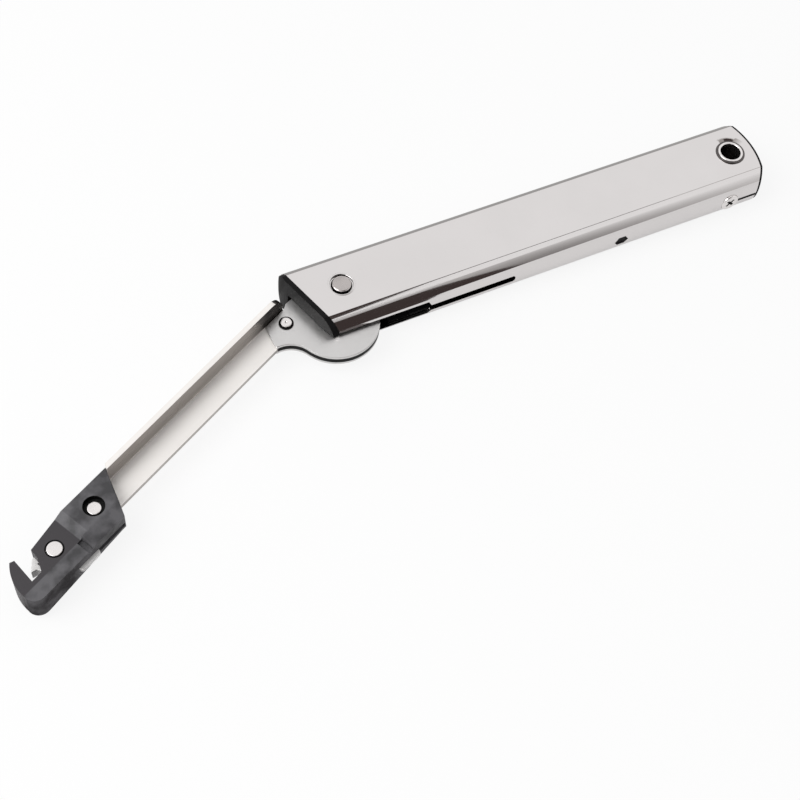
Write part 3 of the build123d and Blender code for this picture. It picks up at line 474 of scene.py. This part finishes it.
def spun(node, centre, outline, width, closed=True):
    """A turned piece: (radius, height) pairs spun round an upright axis, with its edges rounded."""
    shape = bmesh.new()
    corners = [shape.verts.new((centre.x + radius, centre.y, height)) for radius, height in outline]
    ends = corners[1:] + corners[:1] if closed else corners[1:]
    rim = [shape.edges.new(pair) for pair in zip(corners, ends)]
    bmesh.ops.spin(
        shape,
        geom=corners + rim,
        cent=(centre.x, centre.y, 0),
        axis=(0, 0, 1),
        angle=2 * math.pi,
        steps=96,
        use_merge=True,
    )
    bmesh.ops.remove_doubles(shape, verts=shape.verts, dist=MERGE_DISTANCE)
    bmesh.ops.recalc_face_normals(shape, faces=shape.faces)
    rounded(shape, sharp_edges(shape, SQUARE_ANGLE), width, 3)
    return piece_from(shape, node)


def shaded(piece, finish, inside):
    """Gives a second finish to the faces whose middles pass a test."""
    piece.data.materials.append(finish.material)
    for face in piece.data.polygons:
        if inside(face.center, face.normal):
            face.material_index = len(piece.data.materials) - 1


def from_axis(centre):
    """A test's helper: how far a point lies from an upright axis."""
    return lambda point: math.hypot(point.x - centre.x, point.y - centre.y)


def arm_place(along, across):
    """The point at a place in the arm's own directions, in metres."""
    return PIVOT + ALONG_ARM * along + ACROSS_ARM * across


def require(pieces):
    """Stops the script if an operator made nothing."""
    if not pieces:
        raise RuntimeError("no piece was made")


# ---- Operators ----------------------------------------------------------------------------


class LIDSTAY_OT_casing(bpy.types.Operator):
    """Polish the casing, soften its corners and cut edges, and paint shade on its inside faces"""

    bl_idname = "lidstay.casing"
    bl_label = "Casing"

    def execute(self, context):
        sizes, looks = context.scene.lidstay_edges, context.scene.lidstay_finishes
        middle = context.scene.lidstay_turned.top / 2
        polish = metal(
            "polished_casing",
            looks.casing,
            looks.casing_roughness,
            grain=(0.02, 1, 1),
            contrast=0.012,
            depth=3e-7,
        )
        # painted shade: the casing's inside faces, round the slot and the holes, take the dark shade colour
        inner = metal("painted_shade_inside", looks.shade, 0.5)
        shape = copied("casing")
        corners = [
            edge for edge in sharp_edges(shape, SHARP_ANGLE) if edge.calc_face_angle() < SQUARE_ANGLE
        ]
        rounded(shape, corners, sizes.casing_corners, 4)
        rounded(shape, sharp_edges(shape, SQUARE_ANGLE), sizes.casing, 2)
        piece = piece_from(shape, "casing", DISH_ANGLE)
        dress(polish, piece)
        shaded(
            piece,
            inner,
            lambda place, normal: place.y * normal.y + (place.z - middle) * normal.z < -5 * MILLIMETRE,
        )
        require([piece])
        return {"FINISHED"}


class LIDSTAY_OT_end_caps(bpy.types.Operator):
    """Mould the end caps and the blocks behind them"""

    bl_idname = "lidstay.end_caps"
    bl_label = "End caps"

    def execute(self, context):
        sizes, looks = context.scene.lidstay_edges, context.scene.lidstay_finishes
        dark = moulding("dark_moulding", looks.cap, 0.45, 0.25, 0.004, shine=0.08)
        caps = [softened(node, sizes.cap) for node in ("lever_end_cap", "bore_end_cap")]
        dress(dark, *caps, "bore_block", "follower_block", "spring_abutment")
        require(caps)
        return {"FINISHED"}


class LIDSTAY_OT_pivot(bpy.types.Operator):
    """Turn the pivot's dished head and the rings, with painted shade on the head's side and in the rings'
    grooves
    """

    bl_idname = "lidstay.pivot"
    bl_label = "Pivot"

    def execute(self, context):
        sizes, looks = context.scene.lidstay_edges, context.scene.lidstay_finishes
        turned = context.scene.lidstay_turned
        steel = turned_metal("turned_steel", looks.turned, 0.26, PIVOT)
        shade = metal("painted_shade_groove", looks.shade, 0.45)
        head = spun("pivot_rivet", PIVOT, self.head_outline(turned), sizes.turned, closed=False)
        dress(steel, head)
        # painted shade on the head's upright side
        shaded(head, shade, lambda place, normal: abs(normal.z) < 0.35)
        rings = [
            spun("pivot_ring_upper", PIVOT, self.ring_outline(turned), sizes.turned / 2),
            softened("pivot_ring_lower", sizes.turned),
        ]
        dress(metal("bright_rings", looks.casing, 0.12), *rings)
        reach = from_axis(PIVOT)
        # painted shade in the rings' grooves, inside the groove's shaded radius
        for ring in rings:
            shaded(ring, shade, lambda place, normal: reach(place) < turned.painted_shade_radius)
        satin = metal("satin_spacers", looks.lever, looks.satin_roughness)
        dress(satin, "pivot_spacer_upper", "pivot_spacer_lower", "roller_pin", "follower_roller")
        dress(metal("turned_brass", looks.brass, 0.3), "pivot_bush")
        require([head, *rings])
        return {"FINISHED"}

    def ring_outline(self, turned, lip=0.2 * MILLIMETRE):
        """Outline of the ring round the head: a groove inside a low rolled lip."""
        top, inner, outer = turned.top, turned.groove_radius, turned.ring_radius
        floor = top - turned.groove_depth
        return [
            (turned.shaft_radius, top - turned.ring_height),
            (outer, top - turned.ring_height),
            (outer, top),
            (outer - lip, top),
            (outer - 2 * lip, top + turned.ring_lip),
            (inner + lip, top + turned.ring_lip),
            (inner, top),
            (inner, floor),
            (turned.painted_shade_radius, floor),
            (turned.shaft_radius, floor),
        ]

    def head_outline(self, turned, dish_steps=8):
        """Outline of the pivot from its foot to the middle of its dished head."""
        top = turned.top + turned.head_proud
        seat, foot = turned.top - turned.groove_depth, turned.groove_depth
        outline = [
            (0, 0),
            (turned.head_radius, 0),
            (turned.head_radius, foot),
            (turned.shaft_radius, foot),
            (turned.shaft_radius, seat),
            (turned.head_radius, seat),
            (turned.head_radius, top - turned.head_proud / 2),
        ]
        lip = turned.head_radius - turned.head_proud / 2
        for step in range(dish_steps + 1):
            share = 1 - step / dish_steps
            outline.append((lip * share, top - turned.head_dish * (1 - share * share)))
        return outline


class LIDSTAY_OT_bore(bpy.types.Operator):
    """Finish the pin bore's bush and sleeve, and the screw beside them, with painted shade on the bore's
    wall, the sleeve and the screw's cross
    """

    bl_idname = "lidstay.bore"
    bl_label = "Bore"

    def execute(self, context):
        sizes, looks = context.scene.lidstay_edges, context.scene.lidstay_finishes
        turned = context.scene.lidstay_turned
        shade = metal("painted_shade_bore", looks.bore_wall_painted_shade, 0.38)
        recess = metal("painted_shade_cross", looks.shade, 0.4)
        outline = [
            (turned.bore_radius, 0),
            (turned.bush_radius, 0),
            (turned.bush_radius, turned.top),
            (turned.bore_radius, turned.top),
        ]
        bush = spun("bore_bush", BORE, outline, sizes.bush_rim)
        dress(turned_metal("bright_bush", looks.bright, 0.16, BORE), bush)
        reach = from_axis(BORE)
        # painted shade on the bush's inner wall
        shaded(bush, shade, lambda place, normal: reach(place) < turned.bore_radius + 0.05 * MILLIMETRE)
        sleeve = softened("bore_sleeve", sizes.turned)
        # painted shade: the sleeve's dark colour stands for the shaded valley round the bush
        dress(turned_metal("painted_shade_sleeve", looks.sleeve, 0.3, BORE), sleeve)
        screw = softened("retaining_screw", sizes.turned)
        dress(metal("bright_screw", looks.bright, 0.22, contrast=0.05), screw)
        face = max(-corner.co.y for corner in screw.data.vertices)
        # painted shade in the screw's cross recess
        shaded(
            screw,
            recess,
            lambda place, normal: -place.y < face - CROSS_START
            and normal.y > -0.97
            and self.within_recess(place, turned.top / 2),
        )
        require([bush, sleeve, screw])
        return {"FINISHED"}

    def within_recess(self, place, middle):
        """Whether a point of the screw lies in its cross recess."""
        return math.hypot(place.x - SCREW_X, place.z - middle) < CROSS_RADIUS


class LIDSTAY_OT_lever(bpy.types.Operator):
    """Finish the lever's plates, their core and the rivets through them, with painted shade round the outer
    rivet's head
    """

    bl_idname = "lidstay.lever"
    bl_label = "Lever"

    def execute(self, context):
        sizes, looks = context.scene.lidstay_edges, context.scene.lidstay_finishes
        satin = metal("satin_zinc", looks.lever, looks.satin_roughness, contrast=0.03, depth=6e-6)
        plates = [softened(node, sizes.sheet) for node in ("lever_plate_upper", "lever_plate_lower")]
        dress(satin, *plates)
        dress(moulding("black_core", looks.core, 0.45, 0.2, 0.002, shine=0.1), "cam_core")
        rivets = [softened(node, sizes.turned) for node in ("arm_rivet_outer", "arm_rivet_inner")]
        dress(metal("bright_rivets", looks.bright, 0.24, contrast=0.10, depth=1.2e-5), *rivets)
        reach = from_axis(arm_place(OUTER_RIVET_ALONG, FASTENINGS_ACROSS))
        # painted shade: the outer rivet's faces beyond its head take the dark shade colour
        shaded(
            rivets[0],
            metal("painted_shade_ring", looks.shade, 0.4),
            lambda place, normal: reach(place) > OUTER_RIVET_HEAD,
        )
        require(plates + rivets)
        return {"FINISHED"}


class LIDSTAY_OT_arm(bpy.types.Operator):
    """Plate the angle arm, with a painted dark reflection on its flange's inner side, bend and edges"""

    bl_idname = "lidstay.arm"
    bl_label = "Arm"

    def execute(self, context):
        sizes, looks = context.scene.lidstay_edges, context.scene.lidstay_finishes
        piece = softened("arm", sizes.sheet, 3)
        grain = {"grain": (0.03, 1, 1), "along_arm": True, "depth": 1.5e-6}
        plated = metal("bright_plated_steel", looks.arm, roughness=0.38, contrast=0.02, **grain)
        dress(plated, piece)
        plated.shader.inputs["Metallic"].default_value = 0.45
        # painted reflection: the flange's inner side, bend and edges take a darker colour than the plating
        flange = metal("painted_reflection_flange", looks.flange, roughness=0.3, contrast=0.05, **grain)
        parts = flange.add("SeparateXYZ")
        flange.join(flange.coordinates(along_arm=True), parts.inputs["Vector"])
        # the painted reflection is darkest near the pivot end of the flange
        away = flange.spread(parts.outputs["X"], 0, 1, 0.028, 0.038)
        tone = flange.blend(away, shade_of(looks.flange, 0.22), looks.flange)
        flange.join(tone, flange.shader.inputs["Base Color"])
        shaded(piece, flange, lambda place, normal: self.is_painted_dark(normal))
        require([piece])
        return {"FINISHED"}

    def is_painted_dark(self, normal):
        """Whether a face is the flange's inner side, its bend or a rounded or cut edge, which take the
        painted dark reflection.
        """
        return abs(normal.z) < 0.92 and (normal.dot(ACROSS_ARM) > -0.2 or normal.z > 0.3)


class LIDSTAY_OT_hook(bpy.types.Operator):
    """Mould the hook's shells, with painted shade on the front flat and in the recesses round the rivets,
    and finish its rivets and the catch between them
    """

    bl_idname = "lidstay.hook"
    bl_label = "Hook"

    def execute(self, context):
        sizes, looks = context.scene.lidstay_edges, context.scene.lidstay_finishes
        shells = [softened(node, sizes.moulding) for node in ("hook_shell_upper", "hook_shell_lower")]
        dress(hook_moulding(looks), *shells)
        # painted shade: the upper shell's recesses round the rivets take the near-black colour
        shaded(
            shells[0],
            moulding("painted_shade_recess", looks.core, 0.5, 0.2, 0.002, shine=0.15),
            lambda place, normal: self.within(place, REAR_RECESS) or self.within(place, FRONT_RECESS),
        )
        rivets = [softened(node, sizes.turned) for node in ("hook_rivet_rear", "hook_rivet_front")]
        dress(metal("bright_hook_rivets", looks.bright, 0.3, contrast=0.08, depth=1.5e-5), *rivets)
        catch = softened("catch_slider", sizes.sheet)
        white_plated = metal("white_plating", looks.catch, 0.35, contrast=0.04)
        white_plated.shader.inputs["Metallic"].default_value = 0.35
        dress(white_plated, catch)
        require(shells + rivets)
        return {"FINISHED"}

    def within(self, place, recess):
        """Whether a point of the upper shell lies in a recess round a rivet."""
        reach = from_axis(arm_place(recess["along"], recess["across"]))
        return reach(place) < recess["radius"] and place.z < recess["below"]


class LIDSTAY_OT_springs(bpy.types.Operator):
    """Finish the springs and the guide rod"""

    bl_idname = "lidstay.springs"
    bl_label = "Springs"

    def execute(self, context):
        looks = context.scene.lidstay_finishes
        wire = metal("oiled_wire", looks.wire, 0.35, contrast=0.12)
        dress(wire, "main_spring", "catch_spring", "spring_guide_rod")
        require([wire])
        return {"FINISHED"}


class LIDSTAY_OT_stage(bpy.types.Operator):
    """Set up the floor, the soft light and the camera"""

    bl_idname = "lidstay.stage"
    bl_label = "Stage"

    def execute(self, context):
        stage = context.scene.lidstay_stage
        self.lay_floor(stage)
        self.light_world(context, stage)
        self.hang_lamps(stage)
        self.set_cards()
        self.place_camera(context, stage)
        context.scene.view_settings.view_transform = "Standard"
        return {"FINISHED"}

    def lay_floor(self, stage):
        """A pale floor with the object's shadow, near white to the camera and greyer in reflections."""
        sheet = bmesh.new()
        bmesh.ops.create_grid(sheet, x_segments=1, y_segments=1, size=stage.floor_size / 2)
        bmesh.ops.translate(sheet, verts=sheet.verts, vec=(0, 0, CAD_BOX[0].z - 0.1 * MILLIMETRE))
        mesh = bpy.data.meshes.new("floor")
        sheet.to_mesh(mesh)
        sheet.free()
        floor = bpy.data.objects.new("floor", mesh)
        bpy.context.scene.collection.objects.link(floor)
        finish = Finish("pale_floor")
        finish.shader.inputs["Base Color"].default_value = (0.9, 0.9, 0.9, 1)
        finish.shader.inputs["Roughness"].default_value = 0.9
        finish.shader.inputs["Specular IOR Level"].default_value = 0.0
        glow = finish.add("Emission")
        glow.inputs["Color"].default_value = WHITE
        path = finish.add("LightPath")
        seen = finish.maths("MAXIMUM", path.outputs["Is Camera Ray"], path.outputs["Is Transmission Ray"])
        direct = finish.maths("MULTIPLY", seen, stage.floor_seen)
        mirrored = finish.maths("MULTIPLY", path.outputs["Is Glossy Ray"], stage.floor_mirrored)
        share = finish.maths("ADD", direct, mirrored)
        mix = finish.add("MixShader")
        finish.join(share, mix.inputs[0])
        finish.join(finish.shader.outputs[0], mix.inputs[1])
        finish.join(glow.outputs[0], mix.inputs[2])
        finish.join(mix.outputs[0], finish.nodes["Material Output"].inputs["Surface"])
        mesh.materials.append(finish.material)

    def light_world(self, context, stage):
        """White seen directly and in reflections, and a plain soft light on the object."""
        world = bpy.data.worlds.new("studio")
        world.use_nodes = True
        nodes, links = world.node_tree.nodes, world.node_tree.links
        path = nodes.new("ShaderNodeLightPath")
        first = nodes.new("ShaderNodeMath")
        first.operation = "MAXIMUM"
        links.new(path.outputs["Is Camera Ray"], first.inputs[0])
        links.new(path.outputs["Is Glossy Ray"], first.inputs[1])
        second = nodes.new("ShaderNodeMath")
        second.operation = "MAXIMUM"
        links.new(first.outputs[0], second.inputs[0])
        links.new(path.outputs["Is Transmission Ray"], second.inputs[1])
        strength = nodes.new("ShaderNodeMapRange")
        strength.inputs["To Min"].default_value = stage.ambient
        strength.inputs["To Max"].default_value = 1.0
        links.new(second.outputs[0], strength.inputs["Value"])
        background = nodes["Background"]
        background.inputs["Color"].default_value = WHITE
        links.new(strength.outputs["Result"], background.inputs["Strength"])
        context.scene.world = world

    def hang_lamps(self, stage):
        """One large soft key lamp on the camera's side."""
        data = bpy.data.lights.new("key", "AREA")
        data.shape = "DISK"
        data.size = 0.9
        data.energy = stage.key_power
        key = bpy.data.objects.new("key", data)
        target = (CAD_BOX[0] + CAD_BOX[1]) / 2
        key.location = target + Vector((-0.75, 0.05, 0.85))
        key.rotation_mode = "QUATERNION"
        key.rotation_quaternion = (target - key.location).to_track_quat("-Z", "Y")
        bpy.context.scene.collection.objects.link(key)

    def set_cards(self):
        """Cards that only reflections see, for the polished metal's dark and grey bands.

        Their places suit the stage's camera: from other sides the bands fall elsewhere.
        """
        low, beneath = 0.2 * MILLIMETRE, -0.05 * MILLIMETRE
        dark = Finish("card_brown_black")
        self.glow(dark, (0.055, 0.042, 0.04))
        grey = Finish("card_grey")
        self.glow(grey, (0.42, 0.415, 0.41))
        backdrop = Finish("backdrop_grey")
        climb = self.fade(backdrop, "Z", 0.0, 0.42)
        aside = self.fade(backdrop, "X", 0.18, 0.38)
        horizon = backdrop.blend(aside, (0.26, 0.25, 0.245), (0.62, 0.61, 0.605))
        upper = backdrop.blend(aside, (0.62, 0.61, 0.605), (1, 1, 1))
        self.glow(backdrop, backdrop.blend(climb, horizon, upper))
        overhead = Finish("overhead_grey")
        away = self.fade(overhead, "Y", 0.05, 0.3)
        self.glow(overhead, overhead.blend(away, (0.42, 0.40, 0.385), (1, 1, 1)))
        near, left, right = -0.61, -0.4, 0.15
        for name, finish, corners in (
            (
                "near_backdrop",
                backdrop,
                ((-0.6, -0.62, 0), (2.4, -0.62, 0), (2.4, -0.62, 0.42), (-0.6, -0.62, 0.42)),
            ),
            (
                "near_dark",
                dark,
                ((left, near, 0), (right, near, 0), (0.085, near, 0.32), (left, near, 0.32)),
            ),
            (
                "near_line",
                dark,
                ((left, near, 0.40), (0.14, near, 0.45), (left, near, 0.49)),
            ),
            (
                "near_floor_dark",
                dark,
                (
                    (left, -0.069, low),
                    (-0.132, -0.069, low),
                    (-0.094, -0.14, low),
                    (right, near, low),
                    (left, near, low),
                ),
            ),
            (
                "overhead_dark",
                dark,
                (
                    (-0.3, 0.05, 1.0),
                    (0.5, 0.05, 1.0),
                    (0.56, -0.86, 1.0),
                    (0.33, -0.95, 1.0),
                    (0.15, -1.3, 1.0),
                    (-0.3, -1.3, 1.0),
                ),
            ),
            (
                "overhead_soft",
                overhead,
                ((-0.5, -0.9, 1.02), (0.8, -0.9, 1.02), (0.8, 0.3, 1.02), (-0.5, 0.3, 1.02)),
            ),
            (
                "far_floor_grey",
                grey,
                ((-0.36, 0.0175, low), (0.02, 0.0175, low), (0.13, 0.17, low), (-0.36, 0.17, low)),
            ),
            (
                "far_grey",
                grey,
                ((-0.36, 0.17, 0), (0.13, 0.17, 0), (0.13, 0.17, 0.07), (-0.36, 0.17, 0.07)),
            ),
            # painted shade: a dark card under the casing stands for the shadow beneath it, seen through the
            # bore
            (
                "beneath_painted_shade",
                dark,
                (
                    (-0.19, -0.0125, beneath),
                    (0.008, -0.0125, beneath),
                    (0.008, 0.0125, beneath),
                    (-0.19, 0.0125, beneath),
                ),
            ),
        ):
            self.card(name, corners, finish)

    def fade(self, finish, axis, start, end):
        """Nought to one along an axis of the card's own space."""
        parts = finish.add("SeparateXYZ")
        finish.join(finish.add("TexCoord").outputs["Object"], parts.inputs["Vector"])
        return finish.spread(parts.outputs[axis], 0, 1, start, end)

    def glow(self, finish, tone):
        """Makes a card's finish shine evenly in a colour, which may be a socket."""
        light = finish.add("Emission")
        if isinstance(tone, bpy.types.NodeSocket):
            finish.join(tone, light.inputs["Color"])
        else:
            light.inputs["Color"].default_value = (*tone, 1)
        finish.join(light.outputs[0], finish.nodes["Material Output"].inputs["Surface"])

    def card(self, name, corners, finish):
        """A flat card at its corners."""
        shape = bmesh.new()
        shape.faces.new([shape.verts.new(corner) for corner in corners])
        mesh = bpy.data.meshes.new(name)
        shape.to_mesh(mesh)
        shape.free()
        piece = bpy.data.objects.new(name, mesh)
        bpy.context.scene.collection.objects.link(piece)
        mesh.materials.append(finish.material)
        piece.visible_camera = False
        piece.visible_diffuse = False
        piece.visible_transmission = False
        piece.visible_shadow = False

    def place_camera(self, context, stage):
        """The camera, from its place, its two angles and its roll."""
        turn, rise = stage.azimuth, stage.elevation
        back = Vector(
            (math.sin(turn) * math.cos(rise), -math.cos(turn) * math.cos(rise), math.sin(rise))
        )
        level = Vector((math.cos(turn), math.sin(turn), 0))
        upright = back.cross(level)
        right = level * math.cos(stage.roll) + upright * math.sin(stage.roll)
        data = bpy.data.cameras.new("camera")
        data.lens = stage.lens
        data.clip_start, data.clip_end = 0.01, 50
        camera = bpy.data.objects.new("camera", data)
        axes = Matrix((right, back.cross(right), back)).transposed()
        camera.matrix_world = Matrix.Translation(stage.camera_place) @ axes.to_4x4()
        bpy.context.scene.collection.objects.link(camera)
        context.scene.camera = camera


OPERATORS = (
    LIDSTAY_OT_casing,
    LIDSTAY_OT_end_caps,
    LIDSTAY_OT_pivot,
    LIDSTAY_OT_bore,
    LIDSTAY_OT_lever,
    LIDSTAY_OT_arm,
    LIDSTAY_OT_hook,
    LIDSTAY_OT_springs,
    LIDSTAY_OT_stage,
)


class LIDSTAY_PT_panel(bpy.types.Panel):
    """The stay's settings and steps"""

    bl_idname = "LIDSTAY_PT_panel"
    bl_label = "Lid Stay"
    bl_space_type = "VIEW_3D"
    bl_region_type = "UI"
    bl_category = "Lid Stay"

    def draw(self, context):
        for group in GROUPS:
            box = self.layout.box()
            settings = getattr(context.scene, group)
            for name in settings.__annotations__:
                box.prop(settings, name)
        for operator in OPERATORS:
            self.layout.operator(operator.bl_idname)


GROUPS = {
    "lidstay_edges": LidStayEdges,
    "lidstay_turned": LidStayTurned,
    "lidstay_finishes": LidStayFinishes,
    "lidstay_stage": LidStayStage,
}
CLASSES = (*GROUPS.values(), *OPERATORS, LIDSTAY_PT_panel)


def register():
    """Registers the classes and hangs the settings on the scene."""
    for each in CLASSES:
        bpy.utils.register_class(each)
    for name, group in GROUPS.items():
        setattr(bpy.types.Scene, name, bpy.props.PointerProperty(type=group))


def unregister():
    """Takes the settings and the classes away again."""
    for name in GROUPS:
        delattr(bpy.types.Scene, name)
    for each in reversed(CLASSES):
        bpy.utils.unregister_class(each)


def main():
    register()
    bpy.ops.lidstay.casing()
    bpy.ops.lidstay.end_caps()
    bpy.ops.lidstay.pivot()
    bpy.ops.lidstay.bore()
    bpy.ops.lidstay.lever()
    bpy.ops.lidstay.arm()
    bpy.ops.lidstay.hook()
    bpy.ops.lidstay.springs()
    bpy.ops.lidstay.stage()


if __name__ == "__main__":
    main()
